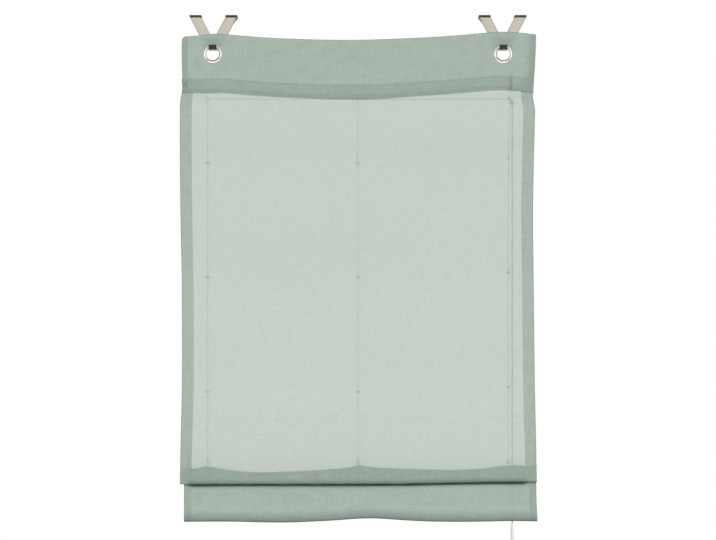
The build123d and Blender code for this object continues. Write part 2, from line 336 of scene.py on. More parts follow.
# ---------------------------------------------------------------------------------------
# Header: one strip of sheer sage polyester voile, 35 cm high before it is folded double
# along its top. Its back ply is turned in at both ends, and its two long raw edges are
# turned in and sewn together along the bottom, with the panel's top edge between them.
# ---------------------------------------------------------------------------------------
header_low, header_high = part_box("header_band")
half_width = header_high.x
ply_gap = 0.0014
header_middle_y = (header_low.y + header_high.y) / 2
header_back_y = header_middle_y + ply_gap / 2
eyelet_at = []
for side in ("left", "right"):
    low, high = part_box(f"eyelet_ring_{side}")
    eyelet_at.append(Vector(((low.x + high.x) / 2, 0, (low.z + high.z) / 2)))


def follow(outline, x):
    """Height at x of a smooth line through these (x, height) points."""
    if x <= outline[0][0]:
        return outline[0][1]
    for k, ((xa, za), (xb, zb)) in enumerate(zip(outline, outline[1:])):
        if x <= xb:
            before = outline[max(k - 1, 0)]
            after = outline[min(k + 2, len(outline) - 1)]
            rise_a = (zb - before[1]) / (xb - before[0])
            rise_b = (after[1] - za) / (after[0] - xa)
            span = xb - xa
            t = (x - xa) / span
            return (
                (2 * t**3 - 3 * t**2 + 1) * za
                + (t**3 - 2 * t**2 + t) * span * rise_a
                + (3 * t**2 - 2 * t**3) * zb
                + (t**3 - t**2) * span * rise_b
            )
    return outline[-1][1]


def smooth(t):
    """A step from 0 to 1 that starts and ends gently."""
    t = max(0.0, min(1.0, t))
    return t * t * (3 - 2 * t)


def ripple(x, z, size, height):
    """A gentle swell of the cloth, out of its plane."""
    return height * noise.noise(Vector((x / size, z / size, 3.7)))


crease_reach = 0.0022


def grid_lines(length, pitch, folds):
    """Where the grid's lines lie along a cut: evenly, and close together at each fold."""
    near = {f + d for f in folds for d in (-crease_reach, 0.0, crease_reach) if 0 < f + d < length}
    stops = sorted({0.0, length} | near)
    lines = [0.0]
    for a, b in zip(stops, stops[1:]):
        count = max(1, round((b - a) / pitch))
        lines += [a + (b - a) * (k + 1) / count for k in range(count)]
    return lines


def creased(at, folds):
    """How hard the cloth is creased here, from the folds' places and strengths."""
    return max((force * max(0.0, 1 - abs(at - f) / crease_reach) for f, force in folds.items()), default=0.0)


def cloth_grid(name, cut, folds, pitch, place, painted_shade=None, sharp=True):
    """A cut of cloth laid where place(u, v) says, with its UV map in metres."""
    lines = [grid_lines(length, pitch, near) for length, near in zip(cut, folds)]
    bpy.ops.object.select_all(action="DESELECT")
    across, along = (len(row) - 1 for row in lines)
    bpy.ops.mesh.primitive_grid_add(x_subdivisions=across, y_subdivisions=along, size=1)
    cloth = bpy.context.object
    cloth.name = name
    mesh = cloth.data
    flat = [
        [row[round((share + 0.5) * (len(row) - 1))] for row, share in zip(lines, v.co)]
        for v in mesh.vertices
    ]
    layer = mesh.uv_layers.active or mesh.uv_layers.new(name="UVMap")
    for loop in mesh.loops:
        layer.data[loop.index].uv = flat[loop.vertex_index]
    crease_and_painted_shade = mesh.attributes.new("crease_and_painted_shade", "FLOAT", "POINT")
    for vertex, (u, v) in zip(mesh.vertices, flat):
        vertex.co = place(u, v)
        # The mark is painted shade; the attribute keeps it or the crease, whichever is more.
        painted_shade_here = painted_shade(vertex.co, v) if painted_shade else 0.0
        crease_and_painted_shade.data[vertex.index].value = max(creased(u, folds[0]), creased(v, folds[1]), painted_shade_here)
    mesh.shade_smooth()
    if sharp:
        mesh.set_sharp_from_angle(angle=1.2)
    return cloth


def remove_flat(cloth, unwanted):
    """Cuts away the part of a cloth whose flat (u, v) places are unwanted."""
    bpy.ops.object.mode_set(mode="EDIT")
    bpy.ops.mesh.select_mode(type="FACE")
    bpy.ops.mesh.select_all(action="DESELECT")
    cut = bmesh.from_edit_mesh(cloth.data)
    layer = cut.loops.layers.uv.active
    for face in cut.faces:
        corners = [loop[layer].uv for loop in face.loops]
        u, v = sum(c.x for c in corners) / len(corners), sum(c.y for c in corners) / len(corners)
        face.select = unwanted(u, v)
    bpy.ops.mesh.delete(type="FACE")
    bpy.ops.object.mode_set(mode="OBJECT")


def turned_in(distance, full, turning):
    """Where a point of a strip with both ends turned in comes: its share from -1 to 1, and
    whether it lies on the turning."""
    if distance < turning:
        return -1 + 2 * (turning - distance) / full, True
    if distance > full + turning:
        return 1 - 2 * (distance - full - turning) / full, True
    return -1 + 2 * (distance - turning) / full, False


# The cloth hangs from its two eyelets: it peaks there and sags between them.
header_top = [
    (-0.500, -0.0650), (-0.4965, -0.0605), (-0.4915, -0.0580), (-0.450, -0.0548), (-0.409, -0.0500),
    (-0.360, -0.0535), (-0.262, -0.0612), (-0.128, -0.0662), (0.000, -0.0675), (0.142, -0.0628),
    (0.277, -0.0548), (0.356, -0.0478), (0.409, -0.0450), (0.460, -0.0480), (0.502, -0.0530),
]
header_foot = [
    (-0.500, -0.2155), (-0.427, -0.2165), (-0.388, -0.2155), (-0.300, -0.2220), (-0.190, -0.2292),
    (-0.080, -0.2325), (0.050, -0.2315), (0.182, -0.2240), (0.300, -0.2155), (0.385, -0.2085),
    (0.440, -0.2095), (0.500, -0.2160),
]
header_edge_left = [
    (-0.240, -0.4990), (-0.205, -0.4935), (-0.150, -0.4955), (-0.085, -0.4965), (-0.060, -0.4950),
]
header_edge_right = [
    (-0.240, 0.4950), (-0.205, 0.4940), (-0.130, 0.4985), (-0.065, 0.5010), (-0.050, 0.5005),
]

header_height = 0.165
seam_turning = 0.012
end_turning = 0.016
turning_depth = 0.55
turning_step = 0.0003
fold_closes, seam_opens = 0.004, 0.03
header_seams = (0.008, 0.038)
header_cut = (2 * half_width + 2 * end_turning, 2 * header_height + 2 * seam_turning)
header_folds = (
    {end_turning: 1.0, 2 * half_width + end_turning: 1.0},
    {
        seam_turning: 0.15,
        seam_turning + header_seams[1]: 0.05,
        seam_turning + header_height: 1.3,
        seam_turning + 2 * header_height: 0.3,
    },
)


def header_place(u, v):
    """The header's cloth: u runs along it, v from the front ply's raw edge over the top."""
    share, on_end = turned_in(u, 2 * half_width, end_turning)
    height, on_seam = v - seam_turning, False
    if height < 0:
        height, on_seam = -height, True
    front = v < seam_turning + header_height
    if not front:
        height = 2 * header_height + seam_turning - v
        if height < 0:
            height, on_seam = -height, True
    up = height / header_height
    near_x = share * half_width
    z_top, z_foot = follow(header_top, near_x), follow(header_foot, near_x)
    z = z_foot + (z_top - z_foot) * up
    left, right = follow(header_edge_left, z), follow(header_edge_right, z)
    x = left + (right - left) * (share + 1) / 2
    closing = min(1, (1 - up) * header_height / fold_closes) * min(1, 0.35 + up * header_height / seam_opens)
    depth = ply_gap / 2 * closing
    if on_seam:
        depth *= turning_depth
    if on_end:
        depth -= turning_step
    y = header_middle_y + (-depth if front else depth)
    y += ripple(x, z, 0.16, 0.0022) + ripple(x, z, 0.05, 0.0005)
    y -= 0.0012 * header_tucks(Vector((x, y, z)))
    return Vector((x, y, z))


corner_tuck_at = Vector((-0.4870, 0, -0.1925))
knot_tuck_x, knot_tuck_top = 0.4296, -0.160


def header_tucks(at):
    """Where the header is pinched: at its lower left corner, and over the cords' knot."""
    away = at - corner_tuck_at
    crossed = max(1 - abs(away.x - slant * away.z) / 0.0045 for slant in (-0.8, 0.8))
    corner = crossed * smooth(1.3 - hypot(away.x, away.z) / 0.013)
    knot = smooth(1.4 - abs(at.x - knot_tuck_x) / 0.005) * smooth((knot_tuck_top - at.z) / 0.015)
    return max(0.0, 1.1 * corner, 0.55 * knot)


def header_shade(at, v):
    """Painted shade in the tucks, and at both ends, where the cloth is turned in and lies in shade."""
    left_end, right_end = smooth((-0.470 - at.x) / 0.015), smooth((at.x - 0.465) / 0.015)
    return max(header_tucks(at), 0.08 * left_end, 0.14 * right_end)


header = cloth_grid("header", header_cut, header_folds, 0.005, header_place, header_shade)
end_uncut = seam_turning + header_height
remove_flat(header, lambda u, v: v < end_uncut and not end_turning < u < header_cut[0] - end_turning)

# Each eyelet is punched through both plies: the hole's edge lies under the flange.
hole_radius = 0.0205
bpy.ops.object.mode_set(mode="EDIT")
bpy.ops.mesh.select_mode(type="FACE")
bpy.ops.mesh.select_all(action="DESELECT")
cut = bmesh.from_edit_mesh(header.data)
for face in cut.faces:
    middle = face.calc_center_median()
    face.select = min(hypot(middle.x - e.x, middle.z - e.z) for e in eyelet_at) < hole_radius
bpy.ops.mesh.delete(type="FACE")
cut = bmesh.from_edit_mesh(header.data)
for vertex in cut.verts:
    for eye in eyelet_at:
        away = Vector((vertex.co.x - eye.x, 0, vertex.co.z - eye.z))
        if 0 < away.length < hole_radius:
            vertex.co += away.normalized() * (hole_radius - away.length)
bmesh.update_edit_mesh(header.data)
bpy.ops.object.mode_set(mode="OBJECT")

# Voile: plain-woven polyester yarn with gaps between the threads, so that about a quarter of
# the light comes straight through a ply. Slubs make thicker threads both ways, and a crease
# closes the gaps and darkens the cloth. The same attribute carries painted shade, which
# darkens and thickens the cloth under the front fold, at the band's bottom, where the cloth
# leans forward, and at the header's ends and tucks. The real threads lie 0.4 mm apart; they
# are drawn at 1.2 mm, because finer ones would not show.
thread_spacing = 0.0012
slub_width, slub_length = 0.0055, 0.040
voile, voile_shader = new_material("sheer_voile", Roughness=0.85, Sheen_Weight=0.12, Sheen_Roughness=0.5)
voile_shader.inputs["Specular IOR Level"].default_value = 0.2
weave_place = add_node(voile, "ShaderNodeUVMap", {"uv_map": "UVMap"})
slubs = []
for scale in ((1 / slub_width, 1 / slub_length, 1), (1 / slub_length, 1 / slub_width, 1)):
    stretched = add_node(
        voile, "ShaderNodeMapping", values={"Scale": scale}, links={"Vector": weave_place.outputs["UV"]}
    )
    slub = add_node(
        voile,
        "ShaderNodeTexNoise",
        values={"Scale": 1.0, "Detail": 3.0, "Roughness": 0.6},
        links={"Vector": stretched.outputs["Vector"]},
    )
    slubs.append(slub.outputs["Fac"])
yarn = add_node(voile, "ShaderNodeMath", {"operation": "ADD"}, links={0: slubs[0], 1: slubs[1]})
patch = add_node(
    voile,
    "ShaderNodeTexNoise",
    values={"Scale": 40.0, "Detail": 2.0},
    links={"Vector": weave_place.outputs["UV"]},
)
uneven = add_node(
    voile,
    "ShaderNodeMath",
    {"operation": "MULTIPLY_ADD"},
    {1: 0.5},
    {0: patch.outputs["Fac"], 2: yarn.outputs[0]},
)
threads = []
for direction in ("X", "Y"):
    thread = add_node(
        voile,
        "ShaderNodeTexWave",
        {"bands_direction": direction},
        {"Scale": 0.314 / thread_spacing},
        {"Vector": weave_place.outputs["UV"]},
    )
    threads.append(thread.outputs["Fac"])
weave = add_node(voile, "ShaderNodeMath", {"operation": "MAXIMUM"}, links={0: threads[0], 1: threads[1]})
# Per point: how hard the cloth is creased, or how much painted shade it carries.
crease_and_painted_shade = add_node(voile, "ShaderNodeAttribute", {"attribute_name": "crease_and_painted_shade"})
cloth_tone = add_node(
    voile,
    "ShaderNodeMapRange",
    values={"From Min": 0.95, "From Max": 1.55},
    links={"Value": uneven.outputs[0]},
)
dyed = add_node(
    voile,
    "ShaderNodeMix",
    {"data_type": "RGBA"},
    {"A": linear("a4b3aa"), "B": linear("b0bfb6")},
    {"Factor": cloth_tone.outputs["Result"]},
)
# Creases and painted shade darken the dye towards a dark green.
crease_and_shade_darkening = add_node(
    voile, "ShaderNodeMath", {"operation": "MULTIPLY"}, {1: 0.6}, {0: crease_and_painted_shade.outputs["Fac"]}
)
dye_and_painted_shade = add_node(
    voile,
    "ShaderNodeMix",
    {"data_type": "RGBA"},
    {"B": linear("4d5f56")},
    {"Factor": crease_and_shade_darkening.outputs[0], "A": dyed.outputs["Result"]},
)
slub_cover = add_node(
    voile,
    "ShaderNodeMapRange",
    values={"From Min": 1.0, "From Max": 1.5, "To Min": 0.745, "To Max": 0.780},
    links={"Value": uneven.outputs[0]},
)
woven_cover = add_node(
    voile,
    "ShaderNodeMath",
    {"operation": "MULTIPLY_ADD"},
    {1: 0.012},
    {0: weave.outputs[0], 2: slub_cover.outputs["Result"]},
)
# Creases and painted shade also close the gaps in the weave.
cover = add_node(
    voile,
    "ShaderNodeMath",
    {"operation": "MULTIPLY_ADD", "use_clamp": True},
    {1: 0.22},
    {0: crease_and_painted_shade.outputs["Fac"], 2: woven_cover.outputs[0]},
)
thread_height = add_node(
    voile,
    "ShaderNodeMath",
    {"operation": "MULTIPLY_ADD"},
    {1: 0.6},
    {0: uneven.outputs[0], 2: weave.outputs[0]},
)
thread_relief = add_node(
    voile,
    "ShaderNodeBump",
    values={"Strength": 0.35, "Distance": 0.0003},
    links={"Height": thread_height.outputs[0]},
)
through = add_node(voile, "ShaderNodeBsdfTranslucent", links={"Color": dye_and_painted_shade.outputs["Result"]})
gaps = add_node(voile, "ShaderNodeBsdfTransparent")
body_of_cloth = add_node(voile, "ShaderNodeMixShader", values={"Fac": 0.40})
finished = add_node(voile, "ShaderNodeMixShader", links={"Fac": cover.outputs[0]})
paint(voile, voile_shader, dye_and_painted_shade, thread_relief)
wire = voile.node_tree.links.new
wire(voile_shader.outputs["BSDF"], body_of_cloth.inputs[1])
wire(through.outputs["BSDF"], body_of_cloth.inputs[2])
wire(gaps.outputs["BSDF"], finished.inputs[1])
wire(body_of_cloth.outputs["Shader"], finished.inputs[2])
wire(finished.outputs["Shader"], voile.node_tree.nodes["Material Output"].inputs["Surface"])


def speckled(name, scale, detail, dark, light, relief=None, **values):
    """A material whose colour, and relief if it has one, follow one fine noise. Gives the
    material, its shader and the noise."""
    material, shader = new_material(name, **values)
    place = add_node(material, "ShaderNodeTexCoord")
    speckle = add_node(
        material,
        "ShaderNodeTexNoise",
        values={"Scale": scale, "Detail": detail},
        links={"Vector": place.outputs["Object"]},
    )
    tone = add_node(
        material,
        "ShaderNodeMix",
        {"data_type": "RGBA"},
        {"A": linear(dark), "B": linear(light)},
        {"Factor": speckle.outputs["Fac"]},
    )
    bump = None
    if relief:
        bump = add_node(
            material,
            "ShaderNodeBump",
            values={"Strength": relief[0], "Distance": relief[1]},
            links={"Height": speckle.outputs["Fac"]},
        )
    paint(material, shader, tone, bump)
    return material, shader, speckle


# Sewing thread: fine glossy polyester in the voile's own colour. One lockstitch is modelled,
# a short thread with sunk ends, and copied along each seam.
stitch_length, stitch_gap, thread_thickness = 0.0024, 0.0008, 0.0004
thread_stuff = speckled("sewing_thread", 1500.0, 1.0, "a4b5ab", "bccbc2", Roughness=0.45)[0]
bpy.ops.object.select_all(action="DESELECT")
bpy.ops.mesh.primitive_uv_sphere_add(segments=6, ring_count=4, radius=0.5, rotation=(0, pi / 2, 0))
stitch = bpy.context.object
bpy.ops.object.transform_apply(rotation=True)
bpy.ops.transform.resize(value=(stitch_length, thread_thickness, thread_thickness))
bpy.ops.object.transform_apply(scale=True)
stitch_shape = [v.co.copy() for v in stitch.data.vertices]
stitch_faces = [list(p.vertices) for p in stitch.data.polygons]
bpy.data.objects.remove(stitch)


def sewn(name, lines):
    """Rows of stitches along these lines, each a list of the points between its stitches."""
    places, faces = [], []
    for line in lines:
        for a, b in zip(line, line[1:]):
            turn = (b - a).to_track_quat("X", "Z")
            first = len(places)
            places += [(a + b) / 2 + turn @ p for p in stitch_shape]
            faces += [[first + k for k in face] for face in stitch_faces]
    mesh = bpy.data.meshes.new(name)
    mesh.from_pydata(places, [], faces)
    mesh.shade_smooth()
    mesh.materials.append(thread_stuff)
    row = bpy.data.objects.new(name, mesh)
    bpy.context.collection.objects.link(row)
    return row


def seam_points(place, start, end, lift):
    """Points a stitch apart on the cloth, from one flat (u, v) place to another."""
    run = hypot(end[0] - start[0], end[1] - start[1])
    count = round(run / (stitch_length + stitch_gap))
    return [
        place(start[0] + (end[0] - start[0]) * k / count, start[1] + (end[1] - start[1]) * k / count)
        + Vector((0, lift, 0))
        for k in range(count + 1)
    ]


header.data.materials.append(voile)
header_ends = (end_turning + 0.003, header_cut[0] - end_turning - 0.003)
header_stitches = sewn(
    "header_stitches",
    [
        seam_points(header_place, (header_ends[0], v), (header_ends[1], v), lift)
        for height in header_seams
        for v, lift in ((seam_turning + height, -0.0002), (seam_turning + 2 * header_height - height, 0.0002))
    ],
)
for piece in (header, header_stitches):
    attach(piece, "root")
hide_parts("header_band")

# ---------------------------------------------------------------------------------------
# Panel: one ply of the same voile. Its sides are turned back 33 mm and sewn down, its top
# edge is caught in the header's seam, and it hangs straight down behind that to the hem.
# Between its rows of rings it bellies a little to the front, as cloth that has been folded
# there does. Its last 80 mm belong to the front fold, which rises with the bottom band.
# ---------------------------------------------------------------------------------------
panel_low, panel_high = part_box("panel")
band_low, band_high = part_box("bottom_band")
row_z = []
for row in range(1, 6):
    low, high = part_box(f"ring_left_{row}")
    row_z.append((low.z + high.z) / 2)
side_turning = 0.033
panel_y = panel_high.y - 0.0009
fold_z = panel_low.z
split_z = fold_z + 0.080
panel_lap = 0.040
lap_y = band_low.y - 0.0007
panel_edge_left = [
    (-1.330, -0.5010), (-1.200, -0.4990), (-1.000, -0.4955), (-0.760, -0.4962), (-0.600, -0.4992),
    (-0.450, -0.5012), (-0.270, -0.5015), (-0.240, -0.5005), (-0.205, -0.4950), (-0.180, -0.4960),
]
panel_edge_right = [
    (-1.330, 0.5035), (-1.200, 0.5010), (-1.000, 0.4975), (-0.760, 0.4950), (-0.560, 0.4930),
    (-0.400, 0.4955), (-0.300, 0.4980), (-0.262, 0.4985), (-0.225, 0.4925), (-0.180, 0.4950),
]
belly = 0.0012
hem_step = 0.0009
fold_front_y = -0.0245
flat_end_left, flat_end_right = -0.485, 0.489
# How much painted shade the cloth gets where it leans forward to the fold.
lean_shade = 0.10


def fullness(x):
    """How far the front fold stands open at x, from 0 at its flat ends to 1."""
    return smooth((x - flat_end_left) / 0.024) * smooth((flat_end_right - x) / 0.030)


def panel_depth(x, z):
    """How far forward the panel hangs at this height."""
    lean = smooth((row_z[3] - z) / (row_z[3] - fold_z - 0.022))
    flat_y = lap_y - 0.0026
    fold_y = flat_y + (fold_front_y - flat_y) * fullness(x)
    y = panel_y + (fold_y - panel_y) * lean
    for above, below in zip(row_z, row_z[1:4] + [fold_z]):
        if below < z < above:
            y -= belly * sin(pi * (above - z) / (above - below)) ** 2
    return y + ripple(x, z, 0.30, 0.0020) * smooth((row_z[0] - z) / 0.08)


panel_width = 2 * half_width
panel_cut = (panel_width + 2 * side_turning, abs(split_z - header_low.z) + panel_lap)


def panel_place(u, v):
    """The panel's cloth: u runs across with both hems, v up from the split."""
    share, on_hem = turned_in(u, panel_width, side_turning)
    near_x = share * half_width
    top_z = follow(header_foot, near_x) + panel_lap
    z = split_z + (top_z - split_z) * v / panel_cut[1]
    left, right = follow(panel_edge_left, z), follow(panel_edge_right, z)
    x = left + (right - left) * (share + 1) / 2
    y = panel_depth(x, z)
    if on_hem:
        y += hem_step
    in_seam = smooth((z + 0.235) / 0.02)
    y += (header_back_y + 0.0005 - y + ripple(x, z, 0.16, 0.0022)) * in_seam
    return Vector((x, y, z))


def panel_shade(at, v):
    """Painted shade: the cloth is darkened a little where it leans forward to the fold."""
    return lean_shade * smooth((row_z[3] - at.z) / 0.08)


hem_folds = {
    0.0: 0.35,
    side_turning: 1.1,
    panel_width + side_turning: 1.1,
    panel_width + 2 * side_turning: 0.35,
}
panel = cloth_grid("panel_voile", panel_cut, (hem_folds, {}), 0.005, panel_place, panel_shade)
panel.data.materials.append(voile)
hem_stitch_u = (2 * side_turning - 0.003, panel_width + 0.003)
panel_stitches = sewn(
    "panel_stitches",
    [
        seam_points(panel_place, (u, 0.001), (u, panel_cut[1] - panel_lap), lift)
        for u in hem_stitch_u
        for lift in (-0.0002, 0.0011)
    ],
)
for piece in (panel, panel_stitches):
    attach(piece, "root")
    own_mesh(piece)
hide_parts("panel")

# ---------------------------------------------------------------------------------------
# Front fold: the panel's lower end. It comes down in front of the band, turns back under
# itself in a soft open fold that is pressed flat at both ends, and goes up again to the
# seam along the band's top. That seam is drawn up at the three cords.
# ---------------------------------------------------------------------------------------
fold_line = [
    (-0.500, -1.3190), (-0.300, -1.3184), (0.100, -1.3174), (0.240, -1.3150), (0.370, -1.3126),
    (0.505, -1.3118),
]
band_seam = [
    (-0.490, -1.2750), (-0.461, -1.2750), (-0.432, -1.2690), (-0.418, -1.2690), (-0.370, -1.2775),
    (-0.292, -1.2850), (-0.190, -1.2830), (-0.089, -1.2775), (-0.021, -1.2710), (0.003, -1.2650),
    (0.035, -1.2705), (0.090, -1.2735), (0.200, -1.2775), (0.266, -1.2785), (0.351, -1.2750),
    (0.424, -1.2660), (0.504, -1.2680),
]
fold_cut = (panel_width + 2 * side_turning, 0.142)


def fold_profile(x):
    """The fold's line at x as (y, z): down the front, round the bottom, up to the seam."""
    full, low_z = fullness(x), follow(fold_line, x)
    front_rise, back_rise = 0.003 + 0.017 * full, 0.003 + 0.005 * full
    front_y = panel_depth(x, low_z + front_rise)
    middle_y, reach = (front_y + lap_y) / 2, (lap_y - front_y) / 2
    line = []
    for k in range(10):
        z = split_z + (low_z + front_rise - split_z) * k / 10
        line.append((panel_depth(x, z), z))
    for k in range(17):
        rise = front_rise if k < 8 else back_rise
        line.append((middle_y - reach * cos(pi * k / 16), low_z + rise * (1 - sin(pi * k / 16))))
    line.append((lap_y, follow(band_seam, x)))
    return [Vector(point) for point in line]


def fold_place(u, v):
    """The fold's cloth: u runs across with both hems, v down the front and up behind."""
    share, on_hem = turned_in(u, panel_width, side_turning)
    line = fold_profile(share * half_width)
    steps = [(b - a).length for a, b in zip(line, line[1:])]
    run = sum(steps) * min(v / fold_cut[1], 0.99999)
    k = 0
    while run > steps[k]:
        run -= steps[k]
        k += 1
    along = (line[k + 1] - line[k]) / steps[k]
    y, z = line[k] + along * run
    if on_hem:
        y, z = y - 0.0008 * along.y, z + 0.0008 * along.x
    left, right = follow(panel_edge_left, z), follow(panel_edge_right, z)
    return Vector((left + (right - left) * (share + 1) / 2 * 0.9998, y, z))


def fold_shade(at, v):
    """Painted shade: a little above the band's seam, where the cloth leans forward, and more over the open
    fold's lower 16 mm, where it turns under. Where the fold lies flat, its lower edge is creased most
    sharply.
    """
    full, low = fullness(at.x), at.z - follow(fold_line, at.x)
    # front: the painted lean shade, carried on above the band's seam.
    front = lean_shade * smooth((at.z - follow(band_seam, at.x)) / 0.006 + 1)
    return max(front, 0.5 * (1 - full) * smooth(1 - low / 0.003), 0.65 * full * smooth(1 - low / 0.016))


front_fold = cloth_grid("front_fold_voile", fold_cut, (hem_folds, {}), 0.0035, fold_place, fold_shade)
front_fold.data.materials.append(voile)
fold_stitches = sewn(
    "front_fold_stitches",
    [seam_points(fold_place, (u, 0.002), (u, 0.060), -0.0002) for u in hem_stitch_u],
)
for piece in (front_fold, fold_stitches):
    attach(piece, "hem")
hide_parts("panel")

# ---------------------------------------------------------------------------------------
# Bottom band: a strip of the voile folded under at the bottom, where it stands open a
# little, and sewn to the panel along its top. Its back ply is turned in at both ends.
# ---------------------------------------------------------------------------------------
band_middle_y = (band_low.y + band_high.y) / 2
band_width = band_high.x - band_low.x
band_height = 0.150
band_turning = 0.020
roll_height, roll_depth, flat_depth = 0.010, 0.0026, 0.0007
band_cut = (band_width + 2 * band_turning, 2 * band_height + 2 * seam_turning)
band_foot = [
    (-0.490, -1.4248), (-0.365, -1.4242), (-0.207, -1.4270), (-0.089, -1.4222), (0.030, -1.4150),
    (0.148, -1.4215), (0.227, -1.4242), (0.345, -1.4240), (0.424, -1.4226), (0.504, -1.4236),
]
band_edge_right = [(-1.430, 0.5060), (-1.380, 0.5035), (-1.310, 0.5020), (-1.260, 0.5015)]
band_folds = (
    {band_turning: 1.1, band_width + band_turning: 1.1},
    {seam_turning: 0.3, seam_turning + band_height: 1.0},
)


def band_place(u, v):
    """The band's cloth: u runs along it, v from the front ply's raw edge under the bottom."""
    share, on_end = turned_in(u, band_width, band_turning)
    drop, on_seam = v - seam_turning, False
    if drop < 0:
        drop, on_seam = -drop, True
    front = v < seam_turning + band_height
    if not front:
        drop = 2 * band_height + seam_turning - v
        if drop < 0:
            drop, on_seam = -drop, True
    near_x = (band_low.x + band_high.x) / 2 + share * band_width / 2
    z_top, z_foot = follow(band_seam, near_x), follow(band_foot, near_x)
    z = z_top + (z_foot - z_top) * drop / band_height
    right = follow(band_edge_right, z)
    x = band_low.x + (right - band_low.x) * (share + 1) / 2
    low = z - z_foot
    if low < roll_height:
        depth = roll_depth * (1 - (1 - low / roll_height) ** 2) ** 0.5
    else:
        depth = flat_depth + (roll_depth - flat_depth) * (1 - smooth((low - roll_height) / 0.045))
    if on_seam:
        depth *= turning_depth
    if on_end:
        depth -= turning_step
    y = band_middle_y + (-depth if front else depth)
    y += ripple(x, z, 0.20, 0.0030) * smooth(drop / 0.08) + ripple(x, z, 0.06, 0.0005)
    return Vector((x, y, z))


def band_shade(at, v):
    """Painted shadow on the front ply under the fold, painted shade on both plies at the bottom, where the
    cloth turns under, and a slight darkening all over.
    """
    under = follow(fold_line, at.x) + 0.002 - at.z
    # A painted shadow, darkest just under the fold's edge and fading below it.
    painted_fold_shadow = 0.5 * smooth(1 - under / 0.026) + 1.6 * smooth(1 - under / 0.014)
    painted_fold_shadow *= fullness(at.x) * smooth(under / 0.002 + 1)
    in_front = v < seam_turning + band_height
    # Painted shade over the band's lowest 40 mm.
    painted_bottom_shade = 0.7 * smooth(1 - (at.z - follow(band_foot, at.x)) / 0.040)
    return max(painted_fold_shadow if in_front else 0.0, painted_bottom_shade, 0.05)


bottom_band = cloth_grid(
    "bottom_band_voile", band_cut, band_folds, 0.003, band_place, band_shade, sharp=False
)
bottom_band.data.materials.append(voile)
end_uncut = seam_turning + band_height
remove_flat(bottom_band, lambda u, v: v < end_uncut and not band_turning < u < band_cut[0] - band_turning)
band_ends = (band_turning + 0.003, band_cut[0] - band_turning - 0.003)
band_stitches = sewn(
    "bottom_band_stitches",
    [
        seam_points(band_place, (band_ends[0], v), (band_ends[1], v), lift)
        for v, lift in ((seam_turning + 0.004, -0.0011), (seam_turning + 2 * band_height - 0.004, 0.0002))
    ],
)
for piece in (bottom_band, band_stitches):
    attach(piece, "hem")
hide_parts("bottom_band")

# ---------------------------------------------------------------------------------------
# Hooks: stamped from brushed steel strip and bent. The shape is the CAD hook's, but the rear
# lips are narrowed and follow the arms' slant. The lip in the eyelet is dipped in black
# vinyl, and a black vinyl sleeve covers each saddle.
# ---------------------------------------------------------------------------------------
arm_slope = 0.5206
steel_width = 0.0325
steel_thickness = 0.0015
rear_lip_from_y = 0.0175
lip_narrowing = 0.72
dipped_before_y, dipped_below_z = -0.0190, -0.06
sleeve_wall = 0.0024

# Brushed steel: a warm grey with fine lines up the strip, and a painted dark reflection along its edges,
# where rounded edges would mirror the dark room.
steel, steel_shader = new_material("brushed_steel", Metallic=0.35, Roughness=0.5)
steel_place = add_node(steel, "ShaderNodeUVMap", {"uv_map": "grain"})
steel_grain = add_node(
    steel,
    "ShaderNodeMapping",
    values={"Scale": (550, 14, 1)},
    links={"Vector": steel_place.outputs["UV"]},
)
grain = add_node(
    steel,
    "ShaderNodeTexNoise",
    values={"Scale": 1.0, "Detail": 3.0},
    links={"Vector": steel_grain.outputs["Vector"]},
)
steel_tone = add_node(
    steel,
    "ShaderNodeMix",
    {"data_type": "RGBA"},
    {"A": linear("a69e90"), "B": linear("dbd4c7")},
    {"Factor": grain.outputs["Fac"]},
)
steel_across = add_node(steel, "ShaderNodeSeparateXYZ", links={"Vector": steel_place.outputs["UV"]})
steel_side = add_node(
    steel, "ShaderNodeMath", {"operation": "ABSOLUTE"}, links={0: steel_across.outputs["X"]}
)
# Painted dark reflection in a narrow strip along each edge of the arms.
painted_edge_reflection = add_node(
    steel,
    "ShaderNodeMapRange",
    values={"From Min": 0.0118, "From Max": 0.0140, "To Max": 0.55},
    links={"Value": steel_side.outputs[0]},
)
steel_colour = add_node(
    steel,
    "ShaderNodeMix",
    {"data_type": "RGBA"},
    {"B": linear("4a443c")},
    {"Factor": painted_edge_reflection.outputs["Result"], "A": steel_tone.outputs["Result"]},
)
steel_relief = add_node(
    steel,
    "ShaderNodeBump",
    values={"Strength": 0.5, "Distance": 0.0002},
    links={"Height": grain.outputs["Fac"]},
)
paint(steel, steel_shader, steel_colour, steel_relief)

# Dipped vinyl: black, with a satin skin that is slightly uneven like orange peel.
vinyl = speckled("black_vinyl", 900.0, 2.0, "1c1c1a", "30302c", (0.3, 0.0002), Roughness=0.5)[0]


def finish_node(node, material):
    """Gives a CAD node this material alone."""
    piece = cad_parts[node]
    piece.data.materials.clear()
    piece.data.materials.append(material)


